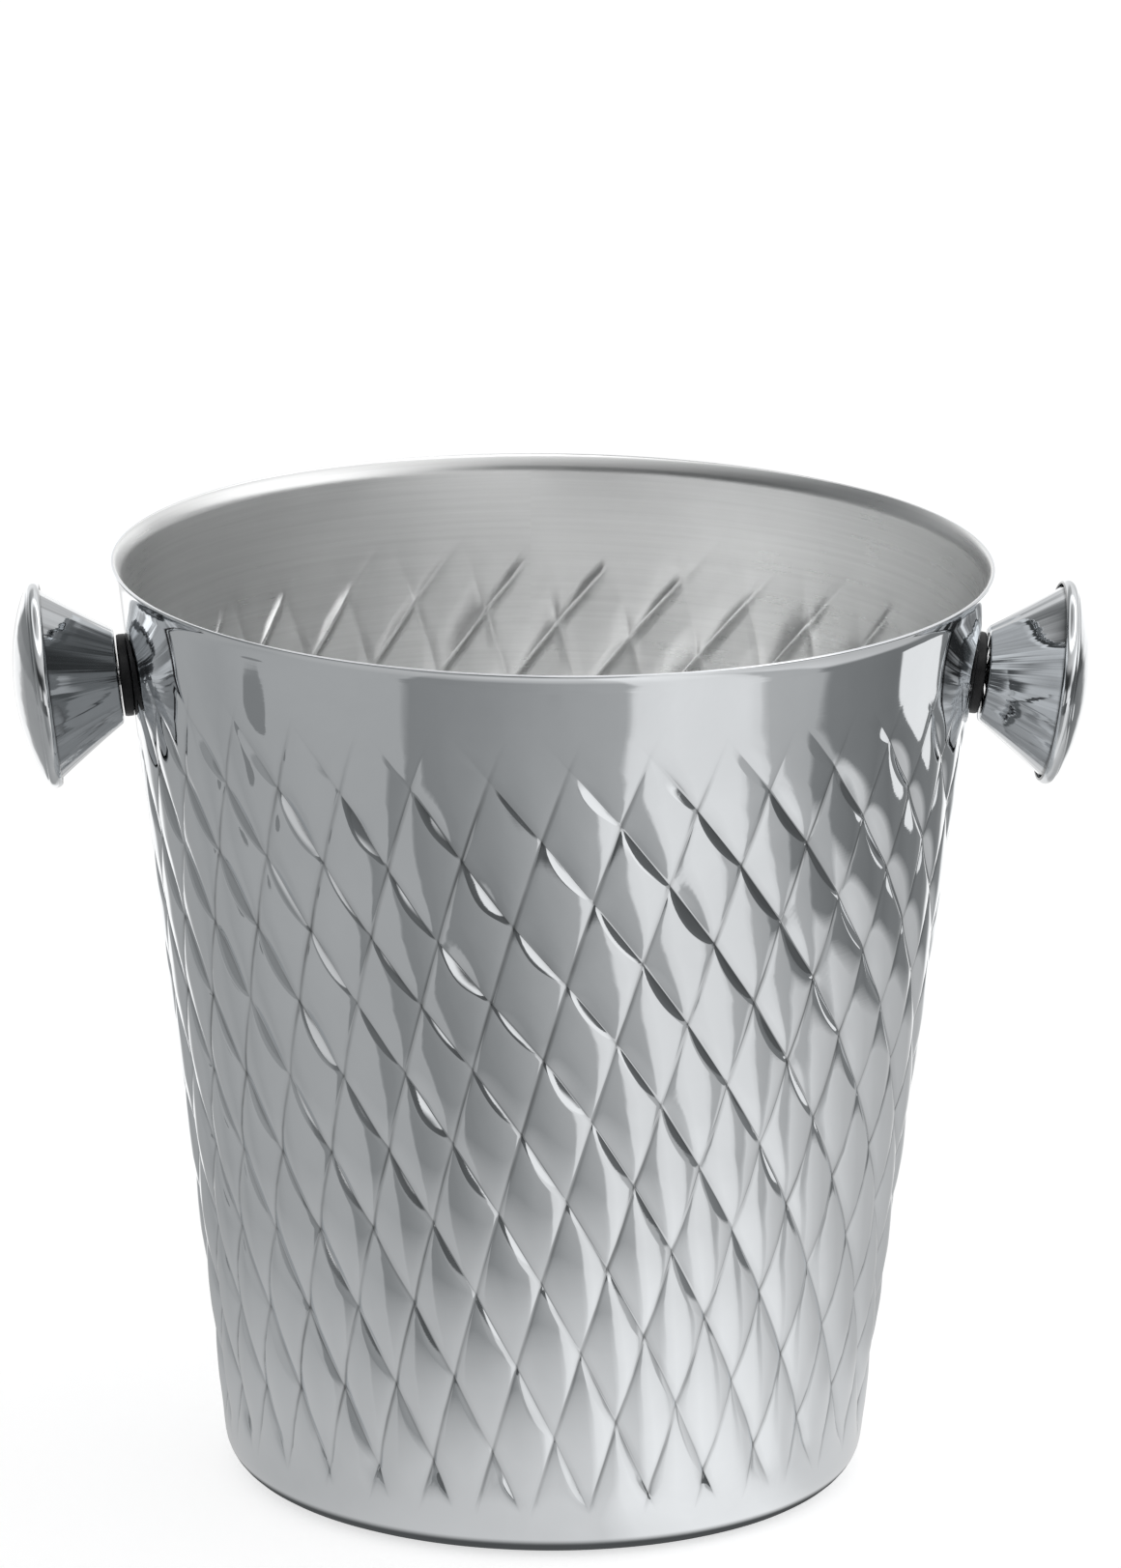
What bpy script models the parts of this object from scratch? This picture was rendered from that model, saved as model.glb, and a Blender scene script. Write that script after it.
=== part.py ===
"""A tapered stainless champagne bucket with an embossed lattice wall and two screwed-on knobs.

Origin: centre of the rest ring, on the surface that the bucket stands on. +Z up, +X through the right knob.
Lengths below are millimetres and degrees; the scene is in metres.
"""

import math

import bmesh
import bpy
from mathutils import Matrix, Vector

MM = 0.001

# ---- bucket ----
HEIGHT = 235.0  # foot to lip
R_FOOT = 79.5  # where the wall's slope would meet the ground
R_WALL_TOP = 108.7  # wall at the height of the lip, before it turns out
R_LIP = 110.0
SHEET = 1.0
HEEL_R = 10.0  # outside radius of the rounded heel
REST_IN = 64.0  # inner edge of the flat ring it stands on
RECESS_R = 59.0
RECESS = 2.0  # how far the bottom is raised inside the rest ring
LEAN = math.atan((R_WALL_TOP - R_FOOT) / HEIGHT)
SEGMENTS = 60

# ---- embossed lattice: two families of creases, as heading angles at height z ----
CREASES_A = 36  # steep family
CREASES_B = 30  # shallow family
PHASE_A = -5.95
PHASE_B = 2.7
Z_MID = 120.0
A1, A2 = 0.163, -1.3e-4
B1, B2 = -0.400, -4.0e-4
EMBOSS = 0.6  # depth of a crease below the crown of a diamond
LATTICE_LOW, LATTICE_HIGH = 11.0, 213.5
FADE_TOP = (190.0, 213.0)
FADE_FOOT = (11.5, 22.0)

# ---- knobs ----
KNOB_Z = 206.0  # where the axis meets the wall
PAD_FLAT, PAD_BLEND = 13.5, 9.0  # plain seat round the axis
HOLE_R = 2.9
SCREW_R = 2.45
KNOB_SEGMENTS = 32


def smooth(t):
    t = min(1.0, max(0.0, t))
    return t * t * (3.0 - 2.0 * t)


def fa(z):
    x = z - Z_MID
    return A1 * x + A2 * x * x


def fb(z):
    x = z - Z_MID
    return B1 * x + B2 * x * x


def wall_r(z):
    return R_FOOT + (R_WALL_TOP - R_FOOT) * z / HEIGHT


def strength(theta, z):
    """How deep the creases are here: they fade under the lip, above the heel and round each knob's seat."""
    w = 1.0 - smooth((z - FADE_TOP[0]) / (FADE_TOP[1] - FADE_TOP[0]))
    w *= smooth((z - FADE_FOOT[0]) / (FADE_FOOT[1] - FADE_FOOT[0]))
    for centre in (90.0, 270.0):
        off = (theta - centre + 180.0) % 360.0 - 180.0
        reach = math.hypot(math.radians(off) * wall_r(z), z - KNOB_Z)
        w *= smooth((reach - PAD_FLAT) / PAD_BLEND)
    return w


def emboss(theta, z):
    """Displacement of the wall along its normal: nought on a diamond's crown, -EMBOSS on a crease."""
    pitch_a, pitch_b = 360.0 / CREASES_A, 360.0 / CREASES_B
    u = (theta - PHASE_A - fa(z)) / pitch_a
    v = (theta - PHASE_B - fb(z)) / pitch_b
    u = 2.0 * abs((u % 1.0) - 0.5)
    v = 2.0 * abs((v % 1.0) - 0.5)
    crown = (1.0 - u ** 2.5) * (1.0 - v ** 2.5)
    return -EMBOSS * (1.0 - crown) * strength(theta, z)


def wall_point(theta, z, inward):
    """A point of the wall at heading theta, measured from -Y towards +X, moved in along the wall's normal."""
    shift = emboss(theta, z) - inward
    r = wall_r(z) + shift * math.cos(LEAN)
    t = math.radians(theta)
    return Vector((r * math.sin(t), -r * math.cos(t), z - shift * math.sin(LEAN)))


def ring_point(theta, r, z):
    t = math.radians(theta)
    return Vector((r * math.sin(t), -r * math.cos(t), z))


def lattice_plane():
    """The wall between the plain band and the heel, unrolled: x is heading, y is height. The edges run along the creases."""
    bm = bmesh.new()
    pitch_a, pitch_b = 360.0 / CREASES_A, 360.0 / CREASES_B
    grid = {}
    g1, g2 = A1 - B1, A2 - B2

    def point(i, j):
        """Where crease i of family A meets crease j of family B. A half stands for a diamond's crown."""
        if (i, j) not in grid:
            s = PHASE_B - PHASE_A + pitch_b * j - pitch_a * i
            z = Z_MID + (-g1 + math.sqrt(g1 * g1 + 4.0 * g2 * s)) / (2.0 * g2)
            grid[i, j] = bm.verts.new((PHASE_A + pitch_a * i + fa(z), z, 0.0))
        return grid[i, j]

    for i in range(CREASES_A):
        low = int((pitch_a * i - 66.0) / pitch_b) - 2
        high = int((pitch_a * i + 62.0) / pitch_b) + 2
        for j in range(low, high):
            crown = point(i + 0.5, j + 0.5)
            around = (point(i, j), point(i + 1, j), point(i + 1, j + 1), point(i, j + 1))
            for k in range(4):
                bm.faces.new((around[k], around[(k + 1) % 4], crown))
    for height, out in ((LATTICE_LOW, -1.0), (LATTICE_HIGH, 1.0)):
        bmesh.ops.bisect_plane(
            bm,
            geom=bm.verts[:] + bm.edges[:] + bm.faces[:],
            dist=1e-6,
            plane_co=(0.0, height, 0.0),
            plane_no=(0.0, out, 0.0),
            clear_outer=True,
        )
    bmesh.ops.triangulate(bm, faces=bm.faces[:])
    return bm


def zip_rings(bm, low, high):
    """Faces between two closed rings given as sorted lists of (heading, vertex)."""
    low = sorted(low, key=lambda p: p[0])
    high = sorted(high, key=lambda p: p[0])
    i = j = 0
    n, m = len(low), len(high)
    while i < n or j < m:
        li, hj = low[i % n], high[j % m]
        next_low = low[(i + 1) % n][0] + 360.0 * ((i + 1) // n)
        next_high = high[(j + 1) % m][0] + 360.0 * ((j + 1) // m)
        if j >= m or (i < n and next_low <= next_high):
            bm.faces.new((li[1], low[(i + 1) % n][1], hj[1]))
            i += 1
        else:
            bm.faces.new((li[1], high[(j + 1) % m][1], hj[1]))
            j += 1


def heel_profile(inward):
    """(r, z) from the lattice's lower edge round the heel to the middle of the bottom."""
    centre_r = R_FOOT + (HEEL_R * math.sin(LEAN) - HEEL_R) / math.cos(LEAN)
    radius = HEEL_R - inward
    turn = [-LEAN - (math.pi / 2 - LEAN) * k / 5.0 for k in range(6)]
    points = [
        (centre_r + radius * math.cos(a), HEEL_R + radius * math.sin(a)) for a in turn
    ]
    return points + [
        (REST_IN, inward),
        (RECESS_R + 1.0, RECESS + inward - 0.35),
        (RECESS_R - 1.5, RECESS + inward),
        (30.0, RECESS + inward),
    ]


def lip_profile():
    """(r, z) up the outside of the plain band, over the lip and down the inside."""
    up, nx, nz = [], math.cos(LEAN), math.sin(LEAN)
    for z in (221.0, 230.5):
        up.append((wall_r(z), z))
    up += [(108.75, 232.6), (109.5, 234.0), (110.0, 234.5), (110.0, 234.85), (109.8, 235.0)]
    down = [(109.1, 235.0), (108.9, 234.85), (108.6, 234.3), (107.85, 232.9)]
    for z in (230.5, 221.0):
        down.append((wall_r(z) - SHEET * nx, z + SHEET * nz))
    return up + down


def to_object(bm, name, material):
    bmesh.ops.recalc_face_normals(bm, faces=bm.faces[:])
    if bm.calc_volume(signed=True) < 0:
        bmesh.ops.reverse_faces(bm, faces=bm.faces[:])
    for face in bm.faces:
        face.smooth = True
    mesh = bpy.data.meshes.new(name)
    bm.to_mesh(mesh)
    bm.free()
    mesh.transform(Matrix.Scale(MM, 4))
    ob = bpy.data.objects.new(name, mesh)
    bpy.context.scene.collection.objects.link(ob)
    ob.data.materials.append(material)
    # A crease over 35 degrees stays sharp
    mesh.set_sharp_from_angle(angle=math.radians(35.0))
    return ob


def paint(name, colour, roughness, metallic=1.0):
    mat = bpy.data.materials.new(name)
    mat.use_nodes = True
    shader = mat.node_tree.nodes["Principled BSDF"]
    shader.inputs["Base Color"].default_value = (*colour, 1.0)
    shader.inputs["Metallic"].default_value = metallic
    shader.inputs["Roughness"].default_value = roughness
    mat.diffuse_color = (*colour, 1.0)
    return mat


def build_body(material):
    plane = lattice_plane()
    bm = bmesh.new()
    skins = []
    for inward in (0.0, SHEET):
        made = {}
        edge = {"low": {}, "high": {}}

        def vertex(v):
            theta, z = v.co.x, v.co.y
            key = (round(theta % 360.0, 3) % 360.0, round(z, 3))
            if key not in made:
                made[key] = bm.verts.new(wall_point(theta, z, inward))
                for side, height in (("low", LATTICE_LOW), ("high", LATTICE_HIGH)):
                    if abs(z - height) < 1e-4:
                        edge[side][key] = made[key]
            return made[key]

        for face in plane.faces:
            bm.faces.new([vertex(v) for v in face.verts])
        skins.append(
            {side: [(key[0], v) for key, v in found.items()] for side, found in edge.items()}
        )
    plane.free()
    step = 360.0 / SEGMENTS

    def ring(r, z):
        return [(k * step, bm.verts.new(ring_point(k * step, r, z))) for k in range(SEGMENTS)]

    # over the lip
    last = skins[0]["high"]
    for r, z in lip_profile():
        fresh = ring(r, z)
        zip_rings(bm, last, fresh)
        last = fresh
    zip_rings(bm, last, skins[1]["high"])
    # under the heel and across the bottom, outside then inside
    for inward, skin in ((0.0, skins[0]), (SHEET, skins[1])):
        last = skin["low"]
        for r, z in heel_profile(inward):
            fresh = ring(r, z)
            zip_rings(bm, last, fresh)
            last = fresh
        middle = bm.verts.new((0.0, 0.0, RECESS + inward))
        for k in range(SEGMENTS):
            bm.faces.new((last[k][1], last[(k + 1) % SEGMENTS][1], middle))
    return to_object(bm, "bucket_body", material)


def knob_seat(word, turn):
    """An empty on the wall's outer face. Its +Z points out of the wall, along the knob's axis."""
    seat = bpy.data.objects.new(f"knob_seat_{word}", None)
    bpy.context.scene.collection.objects.link(seat)
    r = wall_r(KNOB_Z) * MM
    seat.location = (r * math.cos(turn), r * math.sin(turn), KNOB_Z * MM)
    seat.rotation_euler = (0.0, math.pi / 2 + LEAN, turn)
    return seat


def turned(name, profile, material, seat, segments=KNOB_SEGMENTS):
    """A profile of (radius, height) spun about the knob's axis. A radius of nought is a pole."""
    bm = bmesh.new()
    line = [bm.verts.new((r, 0.0, w)) for r, w in profile]
    edges = [bm.edges.new(pair) for pair in zip(line, line[1:])]
    if profile[0][0] > 0.0:
        edges.append(bm.edges.new((line[-1], line[0])))
    bmesh.ops.spin(
        bm,
        geom=line + edges,
        cent=(0.0, 0.0, 0.0),
        axis=(0.0, 0.0, 1.0),
        angle=2 * math.pi,
        steps=segments,
        use_merge=True,
    )
    bmesh.ops.remove_doubles(bm, verts=bm.verts[:], dist=1e-3)
    ob = to_object(bm, name, material)
    ob.parent = seat
    return ob


COLLAR = [(3.2, 0.35), (10.0, 0.35), (10.3, 0.7), (10.3, 2.1), (10.0, 2.4), (3.2, 2.4)]

CONE = [
    (5.2, 2.75),
    (11.0, 2.75),
    (11.9, 3.1),
    (12.4, 3.9),
    (15.5, 8.4),
    (18.45, 12.6),
    (21.15, 16.4),
    (23.3, 19.5),
    (24.2, 20.5),
    (24.2, 21.3),
    (23.0, 21.1),
    (20.4, 17.0),
    (17.7, 13.1),
    (14.7, 8.8),
    (11.5, 4.3),
    (10.9, 3.75),
    (5.2, 3.75),
]

CAP = [
    (0.0, 29.0),
    (8.0, 28.45),
    (15.5, 26.95),
    (21.5, 24.75),
    (24.35, 23.35),
    (24.45, 22.95),
    (24.95, 22.95),
    (25.6, 22.3),
    (25.85, 21.4),
    (25.7, 20.4),
    (25.1, 19.7),
    (24.5, 19.55),
    (24.35, 19.95),
    (24.75, 20.5),
    (24.85, 21.4),
    (24.3, 22.05),
    (21.2, 23.95),
    (15.3, 26.15),
    (8.0, 27.65),
    (0.0, 28.2),
]

BOSS = [(0.0, 13.6), (4.5, 13.6), (4.8, 13.3), (4.8, 4.05), (4.7, 2.85), (2.75, 2.85), (2.75, 11.6), (0.0, 11.6)]

SEAL = [(2.95, -1.6), (7.2, -1.6), (7.2, -2.7), (2.95, -2.7)]

WASHER = [(2.8, -3.0), (6.6, -3.0), (6.6, -3.9), (2.8, -3.9)]

SCREW = [
    (0.0, 10.8),
    (1.9, 10.8),
    (SCREW_R, 10.2),
    (SCREW_R, -4.2),
    (4.6, -4.2),
    (4.75, -4.75),
    (4.4, -5.95),
    (3.4, -6.9),
    (2.1, -7.25),
    (1.75, -7.25),
    (1.3, -5.2),
    (0.0, -4.9),
]


def drill(body, seat, word):
    """The clearance hole through the wall for one screw."""
    bm = bmesh.new()
    bmesh.ops.create_cone(
        bm, cap_ends=True, segments=20, radius1=HOLE_R, radius2=HOLE_R, depth=8.0
    )
    cutter = to_object(bm, f"drill_{word}", body.data.materials[0])
    cutter.parent = seat
    cutter.hide_render = True
    cutter.display_type = "WIRE"
    cut = body.modifiers.new(f"hole_{word}", "BOOLEAN")
    cut.operation = "DIFFERENCE"
    cut.solver = "EXACT"
    cut.object = cutter


for old in list(bpy.data.objects):
    bpy.data.objects.remove(old, do_unlink=True)

bucket = build_body(paint("bucket_steel", (0.80, 0.81, 0.82), 0.08))
cone_steel = paint("knob_cone_steel", (0.78, 0.79, 0.80), 0.06)
cap_steel = paint("knob_cap_steel", (0.78, 0.79, 0.80), 0.06)
boss_steel = paint("boss_steel", (0.60, 0.60, 0.61), 0.35)
washer_steel = paint("washer_steel", (0.66, 0.67, 0.68), 0.25)
screw_steel = paint("screw_steel", (0.66, 0.67, 0.68), 0.22)
collar_black = paint("collar_black", (0.012, 0.012, 0.013), 0.40, 0.0)
seal_black = paint("seal_black", (0.015, 0.015, 0.015), 0.60, 0.0)

for word, turn in (("right", 0.0), ("left", math.pi)):
    seat = knob_seat(word, turn)
    turned(f"knob_collar_{word}", COLLAR, collar_black, seat)
    turned(f"knob_cone_{word}", CONE, cone_steel, seat)
    turned(f"knob_cap_{word}", CAP, cap_steel, seat)
    turned(f"knob_boss_{word}", BOSS, boss_steel, seat, 16)
    turned(f"seal_washer_{word}", SEAL, seal_black, seat, 24)
    turned(f"flat_washer_{word}", WASHER, washer_steel, seat, 24)
    turned(f"knob_screw_{word}", SCREW, screw_steel, seat, 16)
    drill(bucket, seat, word)
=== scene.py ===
"""The looks of a polished steel champagne bucket: the fine embossed wall, the turned knobs, finishes and studio.

Lengths in the geometry are millimetres and angles degrees, as in the CAD. A heading is measured from -Y towards +X.
"""

import math

import bmesh
import bpy
import numpy as np
from mathutils import Matrix, Vector


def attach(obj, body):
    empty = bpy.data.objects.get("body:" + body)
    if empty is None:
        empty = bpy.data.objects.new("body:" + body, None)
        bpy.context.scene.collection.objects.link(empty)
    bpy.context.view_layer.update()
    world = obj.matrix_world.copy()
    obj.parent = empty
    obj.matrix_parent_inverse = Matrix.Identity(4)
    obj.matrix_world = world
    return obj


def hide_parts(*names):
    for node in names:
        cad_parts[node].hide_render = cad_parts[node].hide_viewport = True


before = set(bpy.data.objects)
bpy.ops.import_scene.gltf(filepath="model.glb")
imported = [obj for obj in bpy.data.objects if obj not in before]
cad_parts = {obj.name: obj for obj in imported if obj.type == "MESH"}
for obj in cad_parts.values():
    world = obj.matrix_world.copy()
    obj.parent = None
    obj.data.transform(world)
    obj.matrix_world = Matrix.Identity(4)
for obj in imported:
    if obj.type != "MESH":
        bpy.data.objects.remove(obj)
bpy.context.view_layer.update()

MM = 0.001

# ---- the camera, fitted to the view ----
VIEW_TURN = 3.2  # the knobs' axis is turned by this against the camera
CAM_DISTANCE, CAM_HEIGHT = 2.7898, 0.9626
CAM_PITCH, CAM_ROLL, CAM_YAW = 0.2744, 0.0117, 0.0009
FOCAL_PX = 12000.0
IMAGE_W, IMAGE_H = 1160, 1623

# ---- the bucket, as in the CAD ----
HEIGHT = 235.0
R_FOOT = 79.5
R_WALL_TOP = 108.7
SHEET = 1.0
HEEL_R = 10.0
REST_IN = 64.0
RECESS_R = 59.0
RECESS = 2.0
LEAN = math.atan((R_WALL_TOP - R_FOOT) / HEIGHT)
CREASES_A, CREASES_B = 36, 30
PITCH_A, PITCH_B = 360.0 / CREASES_A, 360.0 / CREASES_B
PHASE_A, PHASE_B = -5.95, 2.7
Z_MID = 120.0
A1, A2, A3 = 0.163, -1.3e-4, 2.1e-6
B1, B2 = -0.400, -4.0e-4
LATTICE_LOW, LATTICE_HIGH = 11.0, 219.0
FADE_TOP = (192.0, 218.5)
FADE_FOOT = (11.5, 22.0)
KNOB_Z = 206.0
PAD_FLAT, PAD_BLEND = 13.5, 9.0
# Each diamond is a shallow pillow. Along its upper right edge it drops into the crease over a leaf-shaped facet,
# steep and narrow high on the wall, broader low on it.
SOFT_A, EDGE_A, POWER_A = 0.40, 0.17, 11.0
SOFT_B, LINE_B, LEAF_B, SKEW_B = 0.46, 0.098, 1.2, 1.4
SOFT_LOW, SOFT_LOWER = 1.1, 0.38  # the pillows are fuller by this share low on the wall, and more so up and down it
LEAF_WIDE, LEAF_WIDER, TOE_B, POWER_LOW = 0.215, 0.07, 1.35, 2.4
INSIDE_SHARE = 0.38  # the relief is softer on the inner side of the sheet
RING = 180


# ---------------------------------------------------------------- the wall's shape


def smooth(t):
    t = np.clip(t, 0.0, 1.0)
    return t * t * (3.0 - 2.0 * t)


def fa(z):
    x = z - Z_MID
    return A1 * x + A2 * x * x + A3 * np.maximum(x, 0.0) ** 3


def fb(z):
    x = z - Z_MID
    return B1 * x + B2 * x * x


def wall_r(z):
    return R_FOOT + (R_WALL_TOP - R_FOOT) * z / HEIGHT


def strength(theta, z):
    w = 1.0 - smooth((z - FADE_TOP[0]) / (FADE_TOP[1] - FADE_TOP[0]))
    w = w * smooth((z - FADE_FOOT[0]) / (FADE_FOOT[1] - FADE_FOOT[0]))
    for centre in (90.0, 270.0):
        off = (theta - centre + 180.0) % 360.0 - 180.0
        reach = np.hypot(np.radians(off) * wall_r(z), z - KNOB_Z)
        w = w * smooth((reach - PAD_FLAT) / PAD_BLEND)
    return w


def wander(theta, z):
    """The rolled creases sag to the left on one stretch of the wall."""
    off = (theta + 17.2 + 0.25 * (z - 165.0) + 180.0) % 360.0 - 180.0
    return -3.4 * np.exp(-((off / 16.0) ** 2) - ((z - 168.0) / 30.0) ** 2)


def faintness(theta):
    """The leaves are pressed less deeply on this stretch of the wall."""
    off = (theta + 15.0 + 180.0) % 360.0 - 180.0
    return 1.0 - smooth((np.abs(off) - 17.0) / 8.0)


def leaf_at(i, j, s, theta, z):
    """Fullness of the leaf on edge j of cell column i at share s along it, and how wide its facet is."""
    i, j = i % CREASES_A, j % CREASES_B
    # each leaf is a little different
    uneven = np.sin(1.7 * i + 2.9 * j + 0.6) * np.cos(0.9 * i - 1.3 * j)
    faint = faintness(theta)
    low = 1.0 - smooth((z - 75.0) / 75.0)
    size = 0.74 + 0.26 * (1.0 + 0.7 * low) * uneven - faint * (0.21 - 0.16 * uneven)
    leaf = s * (1.0 - s) ** SKEW_B * (1.0 + SKEW_B) ** (1.0 + SKEW_B) / SKEW_B**SKEW_B
    leaf = size * (1.0 - 0.42 * low) * np.maximum(leaf, 0.0) ** (0.85 + 0.75 * faint)
    return leaf, low, faint, (LEAF_WIDE + LEAF_WIDER * low) * (0.22 + 0.78 * leaf)


def emboss(theta, z):
    u = (theta - PHASE_A - fa(z)) / PITCH_A
    v = (theta - PHASE_B - fb(z) - wander(theta, z)) / PITCH_B
    s, t = u % 1.0, v % 1.0
    leaf, low, faint, wide = leaf_at(np.floor(u), np.round(v), s, theta, z)
    depth = LINE_B * (1.0 - 0.5 * faint * (1.0 - low)) + LEAF_B * (1.0 - 0.1 * low) * leaf
    upper = np.clip((t - (1.0 - wide)) / wide, 0.0, 1.0) ** TOE_B
    lower = np.clip(1.0 - 2.0 * t, 0.0, 1.0) ** POWER_LOW
    uu, vv = 2.0 * np.abs(s - 0.5), 2.0 * np.abs(t - 0.5)
    down = (SOFT_A * uu**2 + SOFT_B * vv**2) * (1.0 + SOFT_LOW * low) + SOFT_B * vv**2 * SOFT_LOWER * low
    down = down + EDGE_A * uu**POWER_A + depth * np.maximum(upper, lower)
    return -down * strength(theta, z)


def wall_points(theta, z, inward):
    shift = emboss(theta, z)
    if inward > 0.0:
        # softer than the outside, and never less than a thinned sheet behind it
        shift = np.minimum(shift * INSIDE_SHARE, shift + 0.35) - inward
    r = wall_r(z) + shift * math.cos(LEAN)
    t = np.radians(theta)
    return np.stack([r * np.sin(t), -r * np.cos(t), z - shift * math.sin(LEAN)], -1)


def wall_normals(theta, z, inward, side):
    """Normals of the smooth surface itself. side is 1 on the outer skin and -1 on the inner."""
    dt, dz = 0.05, 0.09
    across = wall_points(theta + dt, z, inward) - wall_points(theta - dt, z, inward)
    up = wall_points(theta, z + dz, inward) - wall_points(theta, z - dz, inward)
    n = np.cross(across, up) * side
    return n / np.linalg.norm(n, axis=-1, keepdims=True)


def creases(theta, z):
    """Mask of the painted shade in the creases: 1 in the bottom of a crease, falling to 0 within half a millimetre, and
    more where two of them cross.
    """
    u = (theta - PHASE_A - fa(z)) / PITCH_A
    v = (theta - PHASE_B - fb(z) - wander(theta, z)) / PITCH_B
    away_u = np.abs(u - np.round(u)) * 16.0
    away_v = np.abs(v - np.round(v)) * 16.5
    in_u, in_v = np.exp(-((away_u / 0.4) ** 2)), np.exp(-((away_v / 0.4) ** 2))
    return (np.maximum(in_u, 0.6 * in_v) + 0.9 * in_u * in_v) * strength(theta, z)


def lattice_skin(ticks_a, ticks_b, ticks_leaf):
    """The embossed band unrolled to (heading, height), with its edges on the creases and on the leaves' outlines:
    headings, heights, faces. ticks_leaf divides the leaf's width, and ticks_b the rest of the cell."""
    known, faces = {}, []

    def corner(a, b):
        return known.setdefault((round(a, 5), round(b, 5)), len(known))

    def height_at(a, b):
        """Where crease a crosses crease b."""
        z = Z_MID + (PHASE_B - PHASE_A + PITCH_B * b - PITCH_A * a) / (A1 - B1)
        for _ in range(14):
            theta = PHASE_A + PITCH_A * a + fa(z)
            miss = theta - PHASE_B - PITCH_B * b - fb(z) - wander(theta, z)
            z = np.clip(z - miss / (A1 - B1 + 2.0 * (A2 - B2) * (z - Z_MID)), -60.0, 300.0)
        return z

    for i in range(CREASES_A):
        for j in range(int((PITCH_A * i - 66.0) / PITCH_B) - 3, int((PITCH_A * i + 66.0) / PITCH_B) + 3):
            ends = height_at(np.array([i, i, i + 1.0, i + 1.0]), np.array([j, j + 1.0, j, j + 1.0]))
            if ends.max() < LATTICE_LOW or ends.min() > LATTICE_HIGH:
                continue
            line = np.array(ticks_a)
            if ticks_leaf:
                where = height_at(i + line, j + 0.85 + 0.0 * line)
                wide = leaf_at(i + 0.0 * line, j + 1.0 + 0.0 * line, line, PHASE_A + PITCH_A * (i + line) + fa(where), where)[3]
                rows = [[(1.0 - w) * t for t in ticks_b] + [1.0 - w * t for t in ticks_leaf] for w in wide.tolist()]
            else:
                rows = [ticks_b for _ in ticks_a]
            grid = [[corner(i + s, j + t) for t in row] for s, row in zip(ticks_a, rows)]
            for k in range(len(ticks_a) - 1):
                for m in range(len(rows[0]) - 1):
                    faces.append((grid[k][m], grid[k + 1][m], grid[k + 1][m + 1], grid[k][m + 1]))
    keys = np.array(list(known))
    heights = height_at(keys[:, 0], keys[:, 1])
    headings = PHASE_A + PITCH_A * keys[:, 0] + fa(heights)
    verts = np.stack([headings, heights, np.zeros(len(keys))], -1).tolist()
    mesh = bpy.data.meshes.new("unrolled")
    mesh.from_pydata(verts, [], faces)
    bm = bmesh.new()
    bm.from_mesh(mesh)
    bpy.data.meshes.remove(mesh)
    for height, out in ((LATTICE_LOW, -1.0), (LATTICE_HIGH, 1.0)):
        bmesh.ops.bisect_plane(
            bm,
            geom=bm.verts[:] + bm.edges[:] + bm.faces[:],
            dist=1e-6,
            plane_co=(0.0, height, 0.0),
            plane_no=(0.0, out, 0.0),
            clear_outer=True,
        )
    loose = [v for v in bm.verts if not v.link_faces]
    bmesh.ops.delete(bm, geom=loose, context="VERTS")
    bm.verts.index_update()
    theta = np.array([v.co.x for v in bm.verts])
    z = np.array([v.co.y for v in bm.verts])
    faces = [[v.index for v in f.verts] for f in bm.faces]
    bm.free()
    # the seam: crease number 36 is crease number 0
    seam = theta - fa(z) - PHASE_A
    first, last = np.flatnonzero(seam < 0.03), np.flatnonzero(seam > 360.0 - 0.03)
    first = first[np.argsort(z[first])]
    near = np.clip(np.searchsorted(z[first], z[last]), 1, len(first) - 1)
    pick = np.where(np.abs(z[first[near - 1]] - z[last]) < np.abs(z[first[near]] - z[last]), near - 1, near)
    target = np.arange(len(z))
    target[last] = first[pick]
    kept = np.flatnonzero(target == np.arange(len(z)))
    renumber = np.full(len(z), -1)
    renumber[kept] = np.arange(len(kept))
    faces = [[int(renumber[target[v]]) for v in f] for f in faces]
    return theta[kept], z[kept], faces


def zip_rings(low, high):
    """Triangles between two closed rings of (heading, vertex number)."""
    low, high = sorted(low), sorted(high)
    i = j = 0
    n, m = len(low), len(high)
    faces = []
    while i < n or j < m:
        a, b = low[i % n], high[j % m]
        next_low = low[(i + 1) % n][0] + 360.0 * ((i + 1) // n)
        next_high = high[(j + 1) % m][0] + 360.0 * ((j + 1) // m)
        if j >= m or (i < n and next_low <= next_high):
            faces.append((a[1], low[(i + 1) % n][1], b[1]))
            i += 1
        else:
            faces.append((a[1], high[(j + 1) % m][1], b[1]))
            j += 1
    return faces


def heel_line(inward):
    centre_r = R_FOOT + (HEEL_R * math.sin(LEAN) - HEEL_R) / math.cos(LEAN)
    radius = HEEL_R - inward
    turn = [-LEAN - (math.pi / 2 - LEAN) * k / 9.0 for k in range(10)]
    line = [(centre_r + radius * math.cos(a), HEEL_R + radius * math.sin(a)) for a in turn]
    return line + [
        (67.0, inward),
        (REST_IN, inward + 0.02),
        (62.4, inward + 0.35),
        (61.0, RECESS + inward - 0.7),
        (59.6, RECESS + inward - 0.2),
        (RECESS_R - 1.5, RECESS + inward),
        (40.0, RECESS + inward),
        (16.0, RECESS + inward),
    ]


def lip_line():
    """(r, z) from the plain band over the rolled lip to the inside."""
    line = [(wall_r(z), z) for z in (220.5, 223.5, 227.0, 230.0)]
    line += [
        (108.42, 231.6),
        (108.78, 232.7),
        (109.28, 233.65),
        (109.68, 234.15),
        (109.93, 234.42),
        (110.0, 234.62),
        (109.97, 234.82),
        (109.84, 234.95),
        (109.62, 235.0),
        (109.3, 235.0),
        (109.08, 234.93),
        (108.9, 234.72),
        (108.62, 234.2),
        (108.2, 233.35),
        (107.82, 232.3),
    ]
    nx, nz = math.cos(LEAN), math.sin(LEAN)
    line += [(wall_r(z) - SHEET * nx, z + SHEET * nz) for z in (230.4, 227.0, 223.5, 220.5)]
    return line


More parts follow.
